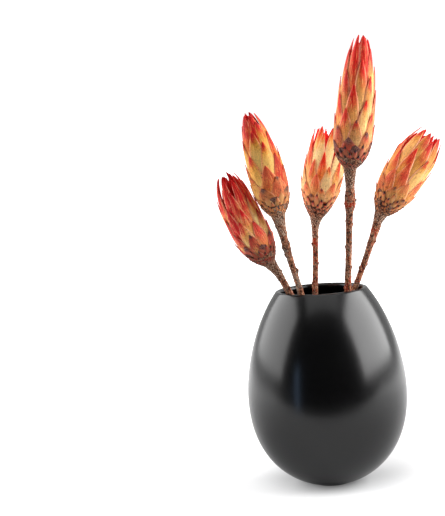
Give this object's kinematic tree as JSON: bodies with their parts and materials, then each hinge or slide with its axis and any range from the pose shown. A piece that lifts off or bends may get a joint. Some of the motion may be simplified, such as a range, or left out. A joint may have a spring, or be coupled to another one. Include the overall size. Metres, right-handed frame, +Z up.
{
  "type": "dried protea stems in a vase",
  "caption": "Dried protea stems with pointed flower heads of overlapping red and yellow bracts, standing in an egg-shaped black ceramic vase; a table decoration.",
  "frame": {"origin": "middle of the vase's flat foot, on the surface that it stands on", "axes": "+Z up through the middle of the vase, the pictured front faces -Y, +X is to the right as seen from the front"},
  "size_m": [0.2011, 0.142, 0.3942],
  "materials": {
    "glaze": "satin black glaze, softly reflecting",
    "bark": "rough dry bark with reddish and grey flecks",
    "bract": "dry leathery bracts, cream-yellow at the base and salmon to red at the tips"
  },
  "bodies": {
    "root": {"vase": "glaze", "stem_1": "bark", "bloom_1": "bract", "stem_2": "bark", "bloom_2": "bract", "stem_3": "bark", "bloom_3": "bract", "stem_4": "bark", "bloom_4": "bract", "stem_5": "bark", "bloom_5": "bract"}
  },
  "joints": []
}
